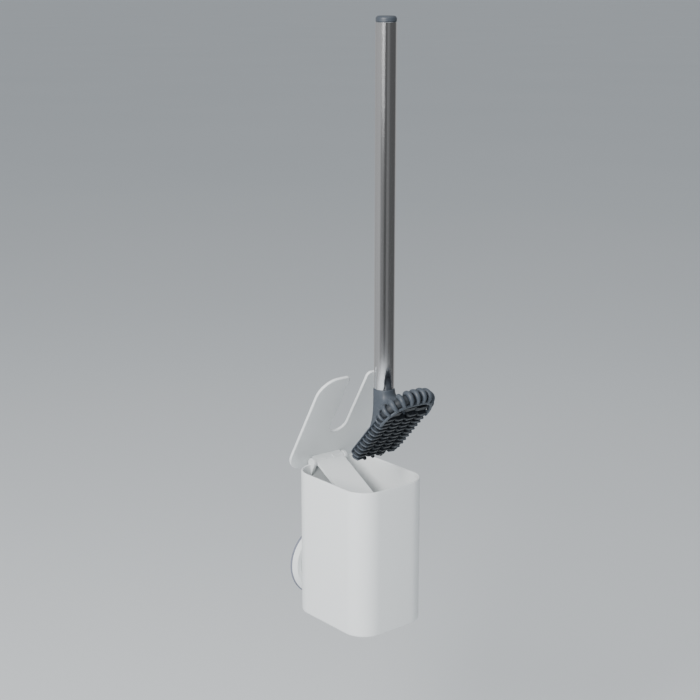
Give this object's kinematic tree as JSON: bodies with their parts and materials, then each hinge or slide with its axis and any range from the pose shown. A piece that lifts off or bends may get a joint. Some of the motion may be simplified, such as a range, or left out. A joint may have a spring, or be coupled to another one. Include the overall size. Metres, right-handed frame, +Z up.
{
  "type": "toilet brush holder",
  "caption": "Wall-hung square container with rounded corners, a slotted flip lid on a lever arm, and a long-handled soft toilet brush held above it.",
  "frame": {"origin": "centre of the wall pad's back face, on the wall", "axes": "+Z up along the handle, +Y into the wall, so the front faces -Y; +X to the right seen from the front"},
  "size_m": [0.0816, 0.1362, 0.5214],
  "materials": {
    "pad_rubber": "satin",
    "white_plastic": "satin",
    "hub_plastic": "matte",
    "lid_plastic": "satin",
    "fastener_steel": "satin",
    "tube_chrome": "polished",
    "grey_plastic": "satin",
    "silicone": "matte"
  },
  "bodies": {
    "mount": {"wall_pad": "pad_rubber", "mount_disc": "white_plastic", "mount_hub": "hub_plastic", "mount_stud": "fastener_steel", "mount_screw": "fastener_steel"},
    "container": {"container_shell": "white_plastic", "hanger_plate": "white_plastic", "hanger_screw_left": "fastener_steel", "hanger_screw_right": "fastener_steel", "hinge_pin": "fastener_steel", "lid_spring": "fastener_steel"},
    "lid": {"lid_plate": "lid_plastic", "lever_arm": "lid_plastic"},
    "brush": {"handle_tube": "tube_chrome", "end_cap": "grey_plastic", "neck_spigot": "grey_plastic", "head_body": "silicone", "toe_bumper": "silicone", "side_fins_left": "silicone", "side_fins_right": "silicone", "flap_pad": "silicone", "heel_nubs": "silicone"}
  },
  "joints": [
    {"name": "container_lift", "type": "slide", "parent": "mount", "child": "container", "axis": [0, 0, 1], "range_m": [0, 0.012]},
    {"name": "lid_hinge", "type": "hinge", "parent": "container", "child": "lid", "pos_m": [0, -0.0131, 0.0985], "axis": [1, 0, 0], "range_deg": [0, 60]},
    {"name": "brush_slide", "type": "slide", "parent": "container", "child": "brush", "axis": [0, 0.3511, -0.9363], "range_m": [0, 0.1025]}
  ],
  "couplings": [
    {"joint": "lid_hinge", "follows": "brush_slide", "rad_per_m": 10.2}
  ]
}
